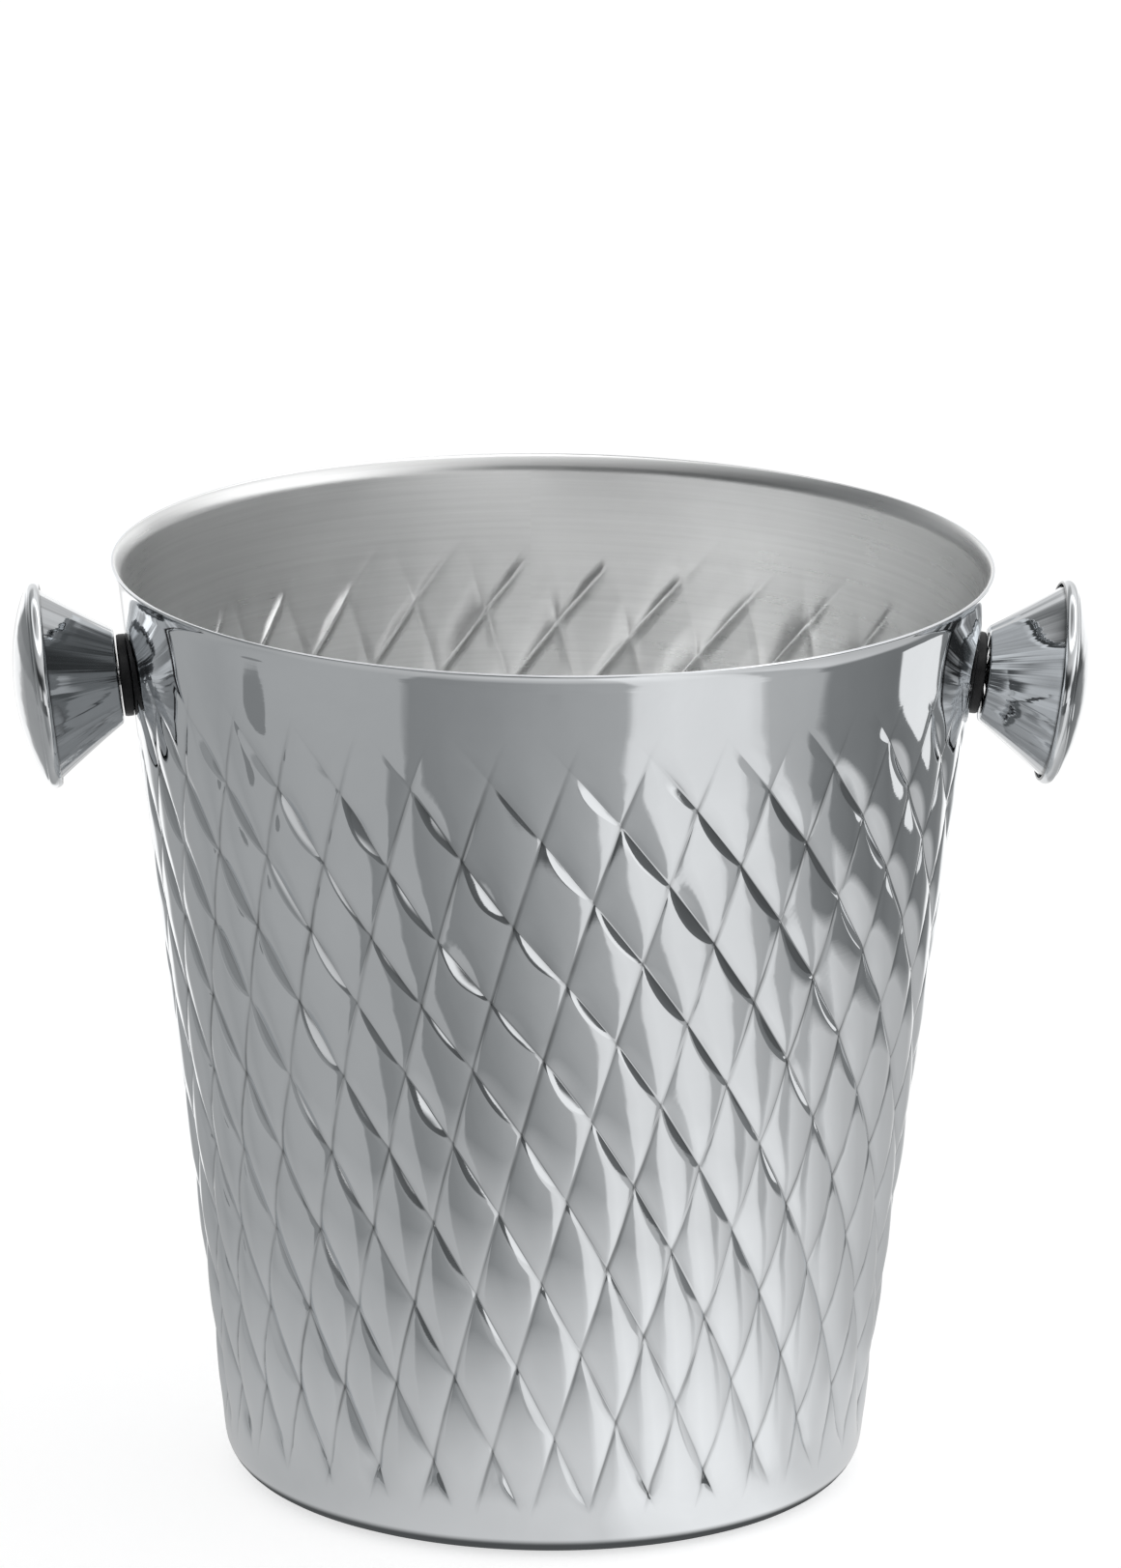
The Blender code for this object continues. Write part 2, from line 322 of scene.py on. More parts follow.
def build_body():
    verts, normals, faces, zone = [], [], [], []
    skins = []
    plain = [0.0, 0.04, 0.17, 0.5, 0.83, 0.96, 1.0]
    for inward, side, ticks_a, ticks_b, ticks_leaf in (
        (
            0.0,
            1.0,
            [0.0, 0.018, 0.06, 0.12, 0.19, 0.27, 0.35, 0.43, 0.51, 0.59, 0.67, 0.75, 0.83, 0.91, 0.965, 1.0],
            [0.0, 0.03, 0.13, 0.34, 0.62, 0.87],
            [1.0, 0.87, 0.67, 0.45, 0.23, 0.07, 0.0],
        ),
        (SHEET, -1.0, plain, plain, None),
    ):
        theta, z, found = lattice_skin(ticks_a, ticks_b, ticks_leaf)
        base = sum(len(v) for v in verts)
        verts.append(wall_points(theta, z, inward))
        normals.append(wall_normals(theta, z, inward, side))
        if side > 0:
            # the mask of the painted shade in the creases, on the outer skin's points
            crease_shade_mask = creases(theta, z)
        for f in found:
            f = [v + base for v in f]
            faces.append(f if side > 0 else f[::-1])
            zone.append(0 if side > 0 else 1)
        skins.append(
            {
                word: [(float(theta[k] % 360.0), int(k + base)) for k in np.flatnonzero(np.abs(z - height) < 1e-3)]
                for word, height in (("low", LATTICE_LOW), ("high", LATTICE_HIGH))
            }
        )
    headings = np.arange(RING) * 360.0 / RING
    t = np.radians(headings)
    nx, nz = math.cos(LEAN), math.sin(LEAN)

    def ring(r, z, n=None):
        base = sum(len(v) for v in verts)
        verts.append(np.stack([r * np.sin(t), -r * np.cos(t), np.full(RING, z)], -1))
        if n is None:
            normals.append(np.zeros((RING, 3)))
        else:
            normals.append(np.stack([n[0] * np.sin(t), -n[0] * np.cos(t), np.full(RING, n[1])], -1))
        return [(float(h), base + k) for k, h in enumerate(headings)]

    last = skins[0]["high"]
    line = lip_line()
    for k, (r, z) in enumerate(line):
        n = (nx, -nz) if k < 4 else ((-nx, nz) if k >= len(line) - 4 else None)
        fresh = ring(r, z, n)
        made = zip_rings(last, fresh)
        faces += made
        zone += [0 if k < 14 else 1] * len(made)
        last = fresh
    made = zip_rings(last, skins[1]["high"])
    faces += made
    zone += [1] * len(made)
    for inward, skin, mark in ((0.0, skins[0], 0), (SHEET, skins[1], 1)):
        last = skin["low"]
        for r, z in heel_line(inward):
            fresh = ring(r, z)
            made = zip_rings(last, fresh)
            faces += made
            zone += [mark] * len(made)
            last = fresh
        base = sum(len(v) for v in verts)
        verts.append(np.array([[0.0, 0.0, RECESS + inward]]))
        normals.append(np.zeros((1, 3)))
        for k in range(RING):
            faces.append((last[k][1], last[(k + 1) % RING][1], base))
            zone.append(mark)
    verts, normals = np.concatenate(verts), np.concatenate(normals)
    sound = {}
    for face, mark in zip(faces, zone):
        corners = list(dict.fromkeys(int(k) for k in face))
        if len(corners) >= 3:
            sound.setdefault(frozenset(corners), (corners, mark))
    zone = [mark for _, mark in sound.values()]
    mesh = bpy.data.meshes.new("bucket")
    mesh.from_pydata((verts * MM).tolist(), [], [corners for corners, _ in sound.values()])
    mesh.polygons.foreach_set("material_index", np.array(zone, np.int32))
    mesh.validate()
    bm = bmesh.new()
    bm.from_mesh(mesh)
    bmesh.ops.recalc_face_normals(bm, faces=bm.faces[:])
    if bm.calc_volume(signed=True) < 0:
        bmesh.ops.reverse_faces(bm, faces=bm.faces[:])
    bm.to_mesh(mesh)
    bm.free()
    mesh.polygons.foreach_set("use_smooth", np.ones(len(mesh.polygons), bool))
    mesh.update()
    mesh.normals_split_custom_set_from_vertices(normals.tolist())
    # the painted crease shade mask, kept as a point attribute for the steel's colour
    mark = mesh.attributes.new("crease", "FLOAT", "POINT")
    mark.data.foreach_set("value", np.concatenate([crease_shade_mask, np.zeros(len(verts) - len(crease_shade_mask))]).astype(np.float32))
    ob = bpy.data.objects.new("bucket_fine", mesh)
    bpy.context.scene.collection.objects.link(ob)
    return ob


# ---------------------------------------------------------------- turned pieces


def rounded(line, times, closed):
    """Corner cutting: each pass rounds every corner over a quarter of its edges."""
    for _ in range(times):
        fresh = []
        n = len(line)
        pairs = [(line[k], line[(k + 1) % n]) for k in range(n if closed else n - 1)]
        if not closed:
            fresh.append(line[0])
        for (r0, z0), (r1, z1) in pairs:
            fresh.append((0.75 * r0 + 0.25 * r1, 0.75 * z0 + 0.25 * z1))
            fresh.append((0.25 * r0 + 0.75 * r1, 0.25 * z0 + 0.75 * z1))
        if not closed:
            fresh.append(line[-1])
        line = fresh
    return line


def seat_matrix(turn):
    r = wall_r(KNOB_Z) * MM
    place = Matrix.Translation((r * math.cos(turn), r * math.sin(turn), KNOB_Z * MM))
    return place @ Matrix.Rotation(turn, 4, "Z") @ Matrix.Rotation(math.pi / 2 + LEAN, 4, "Y")


def turned(name, line, turn, material, segments=96, sharp=40.0):
    """A profile of (radius, height) spun about the knob's axis. Open ends lie on the axis."""
    closed = line[0][0] > 0.0
    bm = bmesh.new()
    rings = []
    for r, w in line:
        if r < 1e-6:
            rings.append([bm.verts.new((0.0, 0.0, w * MM))])
        else:
            rings.append(
                [
                    bm.verts.new(
                        (
                            r * MM * math.cos(2 * math.pi * k / segments),
                            r * MM * math.sin(2 * math.pi * k / segments),
                            w * MM,
                        )
                    )
                    for k in range(segments)
                ]
            )
    pairs = list(zip(rings, rings[1:]))
    if closed:
        pairs.append((rings[-1], rings[0]))
    for a, b in pairs:
        for k in range(segments):
            m = (k + 1) % segments
            corners = [a[k % len(a)], a[m % len(a)], b[m % len(b)], b[k % len(b)]]
            unique = list(dict.fromkeys(corners))
            if len(unique) >= 3:
                bm.faces.new(unique)
    bmesh.ops.recalc_face_normals(bm, faces=bm.faces[:])
    if bm.calc_volume(signed=True) < 0:
        bmesh.ops.reverse_faces(bm, faces=bm.faces[:])
    for face in bm.faces:
        face.smooth = True
    mesh = bpy.data.meshes.new(name)
    bm.to_mesh(mesh)
    bm.free()
    mesh.set_sharp_from_angle(angle=math.radians(sharp))
    mesh.materials.append(material)
    ob = bpy.data.objects.new(name, mesh)
    bpy.context.scene.collection.objects.link(ob)
    ob.matrix_world = seat_matrix(turn)
    return ob


COLLAR = [(3.2, 0.3), (10.15, 0.3), (10.3, 0.45), (10.3, 2.05), (9.9, 2.4), (3.2, 2.4)]
CONE = [
    (5.2, 2.75),
    (8.0, 2.75),
    (11.0, 2.75),
    (11.9, 3.0),
    (12.35, 3.7),
    (13.2, 5.0),
    (15.5, 8.4),
    (18.45, 12.6),
    (21.15, 16.4),
    (23.1, 19.1),
    (23.95, 20.2),
    (24.2, 20.8),
    (24.0, 21.3),
    (23.0, 20.9),
    (20.4, 17.0),
    (17.7, 13.1),
    (14.7, 8.8),
    (11.5, 4.3),
    (10.9, 3.75),
    (8.0, 3.75),
    (5.2, 3.75),
]
CAP = [
    (0.0, 29.0),
    (4.0, 28.88),
    (8.0, 28.45),
    (12.0, 27.8),
    (15.5, 26.95),
    (18.8, 25.95),
    (21.5, 24.85),
    (23.3, 23.95),
    (24.15, 23.45),
    (24.4, 23.1),
    (24.55, 22.85),
    (24.85, 22.95),
    (25.3, 22.75),
    (25.7, 22.2),
    (25.88, 21.4),
    (25.74, 20.6),
    (25.35, 19.95),
    (24.85, 19.65),
    (24.5, 19.7),
    (24.42, 20.0),
    (24.7, 20.5),
    (24.85, 21.3),
    (24.7, 21.9),
    (24.1, 22.3),
    (21.2, 23.95),
    (15.3, 26.15),
    (8.0, 27.65),
    (4.0, 28.05),
    (0.0, 28.2),
]
SCREW = [
    (0.0, 10.8),
    (1.9, 10.8),
    (2.45, 10.2),
    (2.45, -4.2),
    (4.5, -4.2),
    (4.75, -4.5),
    (4.7, -5.1),
    (4.4, -5.95),
    (3.4, -6.85),
    (2.3, -7.22),
    (1.8, -7.25),
    (1.65, -7.0),
    (1.35, -5.3),
    (1.0, -5.0),
    (0.0, -4.9),
]
SEAL = [(2.95, -1.6), (7.0, -1.6), (7.2, -1.8), (7.2, -2.5), (7.0, -2.7), (2.95, -2.7)]
WASHER = [(2.8, -3.0), (6.5, -3.0), (6.6, -3.15), (6.6, -3.8), (6.45, -3.9), (2.8, -3.9)]


# ---------------------------------------------------------------- node helpers


class Graph:
    def __init__(self, tree):
        self.tree = tree

    def node(self, kind, **values):
        made = self.tree.nodes.new(kind)
        for key, value in values.items():
            setattr(made, key, value)
        return made

    def put(self, socket, value):
        if isinstance(value, bpy.types.NodeSocket):
            self.tree.links.new(value, socket)
        elif value is not None:
            socket.default_value = value

    def math(self, op, a, b=None, c=None, clamp=False):
        made = self.node("ShaderNodeMath", operation=op, use_clamp=clamp)
        for socket, value in zip(made.inputs, (a, b, c)):
            self.put(socket, value)
        return made.outputs[0]

    def vector(self, op, a, b=None, c=None):
        made = self.node("ShaderNodeVectorMath", operation=op)
        for socket, value in zip(made.inputs, (a, b, c)):
            self.put(socket, value)
        return made.outputs[0]

    def range(self, value, low, high, out_low=0.0, out_high=1.0, kind="SMOOTHSTEP"):
        made = self.node("ShaderNodeMapRange", interpolation_type=kind)
        for name, x in (
            ("Value", value),
            ("From Min", low),
            ("From Max", high),
            ("To Min", out_low),
            ("To Max", out_high),
        ):
            self.put(made.inputs[name], x)
        return made.outputs["Result"]

    def mix(self, factor, a, b, blend="MIX"):
        made = self.node("ShaderNodeMix", data_type="RGBA", blend_type=blend)
        self.put(made.inputs["Factor"], factor)
        for socket, value in ((made.inputs[6], a), (made.inputs[7], b)):
            if isinstance(value, (int, float)):
                value = (value, value, value, 1.0)
            elif isinstance(value, tuple) and len(value) == 3:
                value = (*value, 1.0)
            self.put(socket, value)
        return made.outputs[2]

    def ramp(self, factor, stops, kind="LINEAR"):
        made = self.node("ShaderNodeValToRGB")
        ramp = made.color_ramp
        ramp.interpolation = kind
        while len(ramp.elements) < len(stops):
            ramp.elements.new(0.5)
        for element, (place, value) in zip(ramp.elements, stops):
            element.position = place
        for element, (place, value) in zip(ramp.elements, stops):
            if isinstance(value, (int, float)):
                value = (value, value, value)
            element.color = (*value, 1.0)
        self.put(made.inputs[0], factor)
        return made.outputs[0]

    def noise(self, vector, scale, detail=3.0, rough=0.5, distortion=0.0):
        made = self.node("ShaderNodeTexNoise")
        self.put(made.inputs["Vector"], vector)
        made.inputs["Scale"].default_value = scale
        made.inputs["Detail"].default_value = detail
        made.inputs["Roughness"].default_value = rough
        made.inputs["Distortion"].default_value = distortion
        return made.outputs["Fac"]

    def stretch(self, vector, scale):
        made = self.node("ShaderNodeMapping")
        self.put(made.inputs["Vector"], vector)
        made.inputs["Scale"].default_value = scale
        return made.outputs["Vector"]

    def combine(self, x, y, z):
        made = self.node("ShaderNodeCombineXYZ")
        for socket, value in zip(made.inputs, (x, y, z)):
            self.put(socket, value)
        return made.outputs[0]

    def bump(self, height, distance, strength=1.0, normal=None):
        made = self.node("ShaderNodeBump")
        self.put(made.inputs["Height"], height)
        made.inputs["Distance"].default_value = distance
        made.inputs["Strength"].default_value = strength
        if normal is not None:
            self.put(made.inputs["Normal"], normal)
        return made.outputs["Normal"]


def surface(name):
    mat = bpy.data.materials.new(name)
    mat.use_nodes = True
    g = Graph(mat.node_tree)
    return mat, g, mat.node_tree.nodes["Principled BSDF"]


def object_coordinates(g):
    return g.node("ShaderNodeTexCoord").outputs["Object"]


def polar(g, vector):
    """(radius, heading in turns from 0 to 1, height) about the Z axis."""
    split = g.node("ShaderNodeSeparateXYZ")
    g.put(split.inputs[0], vector)
    x, y, z = split.outputs
    radius = g.math("SQRT", g.math("ADD", g.math("MULTIPLY", x, x), g.math("MULTIPLY", y, y)))
    heading = g.math("ARCTAN2", x, g.math("MULTIPLY", y, -1.0))
    return radius, heading, z


def polished_steel(name, tint, low, high, wave, lines_along_z=True):
    """Mirror-polished sheet: a slow waviness, faint buffing lines, smudges that dull it a little, and painted shade in
    the bottoms of the creases.
    """
    mat, g, shader = surface(name)
    place = object_coordinates(g)
    radius, heading, z = polar(g, place)
    smudge = g.noise(place, 22.0, 5.0, 0.62, 0.4)
    fine = g.noise(place, 240.0, 3.0, 0.6)
    buff = g.noise(g.combine(g.math("MULTIPLY", heading, 3.0), 0.0, g.math("MULTIPLY", z, 1500.0)), 1.0, 2.0, 0.6)
    light = tuple(min(1.0, c * 1.035) for c in tint)
    dark = tuple(c * 0.955 for c in tint)
    colour = g.mix(g.ramp(smudge, [(0.30, 0.0), (0.72, 1.0)]), dark, light)
    # painted shade: the colour darkens to a third in the bottoms of the creases, patchily along them
    crease = g.node("ShaderNodeAttribute", attribute_name="crease").outputs["Fac"]
    shade_patchiness = g.range(g.noise(place, 34.0, 3.0, 0.6), 0.36, 0.66, 0.36, 0.95)
    crease = g.math("MINIMUM", g.math("MULTIPLY", crease, shade_patchiness), 1.0)
    colour = g.mix(crease, colour, tuple(c * 0.33 for c in tint))
    g.put(shader.inputs["Base Color"], colour)
    shader.inputs["Metallic"].default_value = 1.0
    rough = g.range(smudge, 0.35, 0.75, low, high)
    rough = g.math("ADD", rough, g.math("MULTIPLY", crease, 0.06))
    rough = g.math("ADD", rough, g.math("MULTIPLY", g.math("SUBTRACT", fine, 0.5), 0.02))
    rough = g.math("ADD", rough, g.math("MULTIPLY", g.math("SUBTRACT", buff, 0.5), 0.02))
    g.put(shader.inputs["Roughness"], g.math("MAXIMUM", rough, 0.012))
    slow = g.noise(place, 26.0, 2.0, 0.45)
    step = g.bump(slow, wave)
    g.put(shader.inputs["Normal"], g.bump(buff, 0.0000022, 1.0, step))
    return mat


def brushed_inside(name, tint):
    """Satin inside: fine lines round the axis."""
    mat, g, shader = surface(name)
    place = object_coordinates(g)
    radius, heading, z = polar(g, place)
    along = g.combine(g.math("MULTIPLY", heading, 1.3), g.math("MULTIPLY", radius, 900.0), g.math("MULTIPLY", z, 900.0))
    lines = g.noise(along, 1.0, 4.0, 0.7)
    wide = g.noise(g.combine(g.math("MULTIPLY", heading, 0.8), g.math("MULTIPLY", radius, 120.0), g.math("MULTIPLY", z, 120.0)), 1.0, 2.0, 0.5)
    stain = g.noise(place, 14.0, 4.0, 0.6, 0.5)
    light = tuple(min(1.0, c * 1.06) for c in tint)
    dark = tuple(c * 0.92 for c in tint)
    both = g.math("ADD", g.math("MULTIPLY", lines, 0.6), g.math("ADD", g.math("MULTIPLY", wide, 0.25), g.math("MULTIPLY", stain, 0.15)))
    g.put(shader.inputs["Base Color"], g.mix(g.ramp(both, [(0.32, 0.0), (0.68, 1.0)]), dark, light))
    shader.inputs["Metallic"].default_value = 1.0
    shader.inputs["Anisotropic"].default_value = 0.55
    rough = g.math("ADD", g.range(stain, 0.3, 0.75, 0.27, 0.34), g.math("MULTIPLY", g.math("SUBTRACT", lines, 0.5), 0.08))
    g.put(shader.inputs["Roughness"], rough)
    g.put(shader.inputs["Normal"], g.bump(lines, 0.000004, 0.6))
    return mat


def turned_steel(name, tint, low, high, streak, seam):
    """Polished steel of the knobs, in their own coordinates: streaks along the axis, partly painted darker as painted
    reflections, rings and smudges, and painted shade in the seam between the cone and the cap.
    """
    mat, g, shader = surface(name)
    place = object_coordinates(g)
    radius, heading, z = polar(g, place)
    smudge = g.noise(place, 70.0, 5.0, 0.6, 0.5)
    rings = g.noise(g.combine(g.math("MULTIPLY", heading, 0.9), g.math("MULTIPLY", radius, 1800.0), g.math("MULTIPLY", z, 1800.0)), 1.0, 2.0, 0.6)
    # the heading as a point on a circle, so that the streaks close up
    circle = g.vector("NORMALIZE", g.vector("MULTIPLY", place, (1.0, 1.0, 0.0)))
    along = g.vector("MULTIPLY", place, (0.0, 0.0, 16.0))
    wide = g.noise(g.vector("MULTIPLY_ADD", circle, (1.9, 1.9, 0.0), along), 1.0, 2.0, 0.45)
    thin = g.noise(g.vector("MULTIPLY_ADD", circle, (11.0, 11.0, 0.0), along), 1.0, 2.0, 0.5)
    light = tuple(min(1.0, c * 1.04) for c in tint)
    dark = tuple(c * 0.94 for c in tint)
    colour = g.mix(g.ramp(smudge, [(0.32, 0.0), (0.7, 1.0)]), dark, light)
    # painted reflection: thin axial streaks darken the colour, standing in for dark streaks mirrored in the steel; the
    # same streaks are real polishing marks in the bump
    colour = g.mix(g.math("MULTIPLY", g.range(thin, 0.50, 0.74), 0.45 * streak), colour, tuple(c * 0.35 for c in tint))
    # painted shade in the seam between the cone and the cap
    if seam == "rim":
        seam_shade = g.range(radius, 0.0232, 0.0239)
    else:
        seam_shade = g.math("MULTIPLY", g.range(z, 0.0206, 0.0199), g.range(radius, 0.02535, 0.0250))
    colour = g.mix(g.math("MULTIPLY", seam_shade, 0.9), colour, tuple(c * 0.10 for c in tint))
    g.put(shader.inputs["Base Color"], colour)
    shader.inputs["Metallic"].default_value = 1.0
    rough = g.math("ADD", g.range(smudge, 0.35, 0.75, low, high), g.math("MULTIPLY", g.math("SUBTRACT", rings, 0.5), 0.03))
    g.put(shader.inputs["Roughness"], g.math("MAXIMUM", rough, 0.015))
    height = g.math("ADD", wide, g.math("MULTIPLY", thin, 0.05))
    g.put(shader.inputs["Normal"], g.bump(height, 0.0022 * streak))
    return mat


def rubber(name, tint, rough):
    mat, g, shader = surface(name)
    place = object_coordinates(g)
    cloud = g.noise(place, 260.0, 4.0, 0.6)
    grain = g.noise(place, 2600.0, 3.0, 0.6)
    lighter = tuple(c * 2.2 + 0.004 for c in tint)
    g.put(shader.inputs["Base Color"], g.mix(g.ramp(cloud, [(0.4, 0.0), (0.8, 1.0)]), tint, lighter))
    g.put(shader.inputs["Roughness"], g.range(cloud, 0.3, 0.8, rough - 0.06, rough + 0.12))
    shader.inputs["Specular IOR Level"].default_value = 0.25
    g.put(shader.inputs["Normal"], g.bump(grain, 0.00003, 0.8))
    return mat


def satin_steel(name, tint, rough):
    """Plain machined fastener steel."""
    mat, g, shader = surface(name)
    place = object_coordinates(g)
    cloud = g.noise(place, 300.0, 4.0, 0.6)
    grain = g.noise(place, 3500.0, 3.0, 0.65)
    g.put(
        shader.inputs["Base Color"],
        g.mix(g.ramp(cloud, [(0.35, 0.0), (0.75, 1.0)]), tuple(c * 0.85 for c in tint), tuple(min(1.0, c * 1.08) for c in tint)),
    )
    shader.inputs["Metallic"].default_value = 1.0
    g.put(shader.inputs["Roughness"], g.range(cloud, 0.3, 0.75, rough - 0.07, rough + 0.1))
    g.put(shader.inputs["Normal"], g.bump(grain, 0.00001, 0.8))
    return mat


# ---------------------------------------------------------------- the pieces

outside = polished_steel("bucket_polished", (0.790, 0.812, 0.832), 0.03, 0.065, 0.00035)
inside = brushed_inside("bucket_brushed", (0.915, 0.92, 0.918))
body = build_body()
body.data.materials.append(outside)
body.data.materials.append(inside)
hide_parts("bucket_body")
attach(body, "root")

# The cone is the same polished steel as the cap, painted darker: painted shade that stands in for its darker
# reflections.
cone_steel = turned_steel("knob_cone_polished", (0.515, 0.53, 0.545), 0.035, 0.07, 1.0, "rim")
cap_steel = turned_steel("knob_cap_polished", (0.70, 0.717, 0.732), 0.03, 0.065, 0.08, "lip")
collar_black = rubber("collar_rubber_black", (0.010, 0.010, 0.011), 0.38)
seal_black = rubber("seal_rubber_black", (0.014, 0.014, 0.014), 0.62)
screw_steel = satin_steel("screw_satin", (0.66, 0.67, 0.68), 0.24)
washer_steel = satin_steel("washer_satin", (0.68, 0.69, 0.70), 0.28)
boss_steel = satin_steel("boss_machined", (0.60, 0.60, 0.61), 0.36)

for word, turn in (("right", 0.0), ("left", math.pi)):
    for name, line, closed, material, slot, node, sides in (
        ("collar", COLLAR, True, collar_black, "collar_rubber", f"knob_collar_{word}", 96),
        ("cone", CONE, True, cone_steel, "knob_steel", f"knob_cone_{word}", 128),
        ("cap", CAP, False, cap_steel, "knob_steel", f"knob_cap_{word}", 128),
        ("screw", SCREW, False, screw_steel, "hardware_steel", f"knob_screw_{word}", 48),
        ("seal", SEAL, True, seal_black, "seal_rubber", f"seal_washer_{word}", 64),
        ("washer", WASHER, True, washer_steel, "hardware_steel", f"flat_washer_{word}", 64),
    ):
        passes = {"cone": 2, "cap": 2, "collar": 1}.get(name, 0)
        piece = turned(f"{name}_fine_{word}", rounded(line, passes, closed), turn, material, sides, 75.0 if passes else 35.0)
        if name == "collar":
            # the soft collar follows the wall's curve
            for v in piece.data.vertices:
                if v.co.z < 0.9 * MM:
                    v.co.z -= 0.18 * MM + v.co.y**2 / (2.0 * 106.0 * MM)
        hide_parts(node)
        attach(piece, "root")
    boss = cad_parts[f"knob_boss_{word}"]
    boss.data.materials.clear()
    boss.data.materials.append(boss_steel)


# ---------------------------------------------------------------- studio


def stage_plane(name, size, height, material):
    mesh = bpy.data.meshes.new(name)
    s = size / 2
    mesh.from_pydata([(-s, -s, height), (s, -s, height), (s, s, height), (-s, s, height)], [], [(0, 1, 2, 3)])
    mesh.materials.append(material)
    ob = bpy.data.objects.new(name, mesh)
    bpy.context.scene.collection.objects.link(ob)
    return ob


def turns(degrees):
    return degrees / 360.0 + 0.5


floor_mat, g, shader = surface("pale_floor")
shader.inputs["Base Color"].default_value = (0.90, 0.90, 0.90, 1.0)
shader.inputs["Roughness"].default_value = 1.0
shader.inputs["Specular IOR Level"].default_value = 0.0
shader.inputs["Emission Color"].default_value = (1.0, 1.0, 1.0, 1.0)
shader.inputs["Emission Strength"].default_value = 0.62
floor_mat.cycles.emission_sampling = "NONE"
floor = stage_plane("floor", 80.0, -0.0004, floor_mat)
floor.visible_glossy = False
floor.visible_diffuse = False
floor.visible_shadow = False

# What the steel mirrors below the horizon: a grey sweep with a bright strip to the right of the camera.
COOL = (0.955, 1.0, 1.02)


def cool(value, gain=1.25):
    dark = max(0.0, 1.0 - value / 0.45)
    return tuple(gain * value * (1.0 + (c - 1.0) * dark) for c in COOL)


mirror_mat = bpy.data.materials.new("sweep")
mirror_mat.use_nodes = True
mirror_mat.node_tree.nodes.clear()
g = Graph(mirror_mat.node_tree)
radius, heading, height = polar(g, object_coordinates(g))
wobble = g.noise(object_coordinates(g), 6.0, 3.0, 0.55)
wave = g.math("MULTIPLY", g.math("SUBTRACT", wobble, 0.5), g.range(radius, 0.7, 1.6, 1.0, 0.25))
heading = g.math("ADD", heading, g.math("MULTIPLY", wave, 0.20))
share = g.math("ADD", g.math("DIVIDE", heading, 2 * math.pi), 0.5)
FAR = [
    (-180, 0.60),
    (-162, 0.66),
    (-156, 0.95),
    (-142, 0.85),
    (-137, 0.42),
    (-130, 0.31),
    (-108, 0.32),
    (-96, 0.30),
    (-82, 0.33),
    (-60, 0.34),
    (-39, 0.34),
    (-37.5, 0.205),
    (-28, 0.215),
    (-14, 0.255),
    (2, 0.31),
    (19, 0.36),
    (21.5, 0.64),
    (32, 0.69),
    (50, 0.67),
    (55, 0.60),
    (57, 0.40),
    (72, 0.36),
    (75, 0.19),
    (100, 0.15),
    (112, 0.17),
    (128, 0.17),
    (138, 0.22),
    (146, 0.85),
    (160, 0.95),
    (180, 0.95),
]
NEAR = [
    (-180, 0.50),
    (-158, 0.42),
    (-148, 0.36),
    (-120, 0.38),
    (-90, 0.42),
    (-60, 0.42),
    (-44, 0.44),
    (-20, 0.52),
    (0, 0.56),
    (14, 0.58),
    (21, 0.74),
    (32, 0.80),
    (50, 0.76),
    (66, 0.60),
    (80, 0.52),
    (100, 0.44),
    (130, 0.40),
    (142, 0.47),
    (150, 0.74),
    (180, 0.78),
]
BEYOND = [
    (-180, 1.0),
    (-152, 1.0),
    (-148, 0.30),
    (-118, 0.22),
    (-60, 0.26),
    (-42, 0.24),
    (-37, 0.14),
    (0, 0.08),
    (18, 0.10),
    (21, 0.80),
    (50, 0.80),
    (54, 0.12),
    (94, 0.08),
    (134, 0.09),
    (142, 0.85),
    (150, 1.0),
    (180, 1.0),
]
CARDS = [
    (-180, 1.0),
    (-150, 1.0),
    (-146, 0.22),
    (-96, 0.19),
    (-42, 0.21),
    (-36, 0.52),
    (-24, 0.50),
    (-18, 0.12),
    (-3, 0.10),
    (4, 0.72),
    (38, 0.78),
    (44, 0.12),
    (94, 0.07),
    (130, 0.09),
    (138, 0.9),
    (146, 1.0),
    (180, 1.0),
]
LOW_SKY = [
    (-180, 0.75),
    (-152, 0.85),
    (-135, 0.50),
    (-112, 0.18),
    (-75, 0.11),
    (-50, 0.035),
    (-10, 0.03),
    (20, 0.10),
    (36, 0.50),
    (50, 0.85),
    (62, 1.15),
    (92, 1.10),
    (110, 0.80),
    (132, 0.50),
    (160, 0.62),
    (180, 0.75),
]
MID_SKY = [
    (-180, 0.45),
    (-150, 0.30),
    (-120, 0.13),
    (-100, 0.12),
    (-60, 0.30),
    (-20, 0.45),
    (20, 0.55),
    (60, 0.68),
    (105, 0.62),
    (135, 0.80),
    (180, 0.75),
]
far = g.ramp(share, [(turns(a), cool(v)) for a, v in FAR])
near = g.ramp(share, [(turns(a), cool(v)) for a, v in NEAR])
side = g.range(share, turns(60), turns(76))
first = g.math("ADD", 0.115, g.math("MULTIPLY", side, 0.26))
last = g.math("ADD", 0.25, g.math("MULTIPLY", side, 0.18))
colour = g.mix(g.range(radius, first, last, kind="LINEAR"), near, far)
colour = g.mix(g.math("MULTIPLY", side, g.range(radius, 0.165, 0.11)), colour, cool(0.56))
# past the sweep the room is dark, with white cards standing in it
beyond = g.ramp(share, [(turns(a), cool(v)) for a, v in BEYOND])
start = g.math("ADD", 0.50, g.math("MULTIPLY", g.math("ABSOLUTE", heading), 0.20))
colour = g.mix(g.range(g.math("SUBTRACT", radius, start), 0.0, 0.12), colour, beyond)
cards = g.ramp(share, [(turns(a), cool(v)) for a, v in CARDS])
colour = g.mix(g.range(radius, 1.5, 1.85), colour, cards)
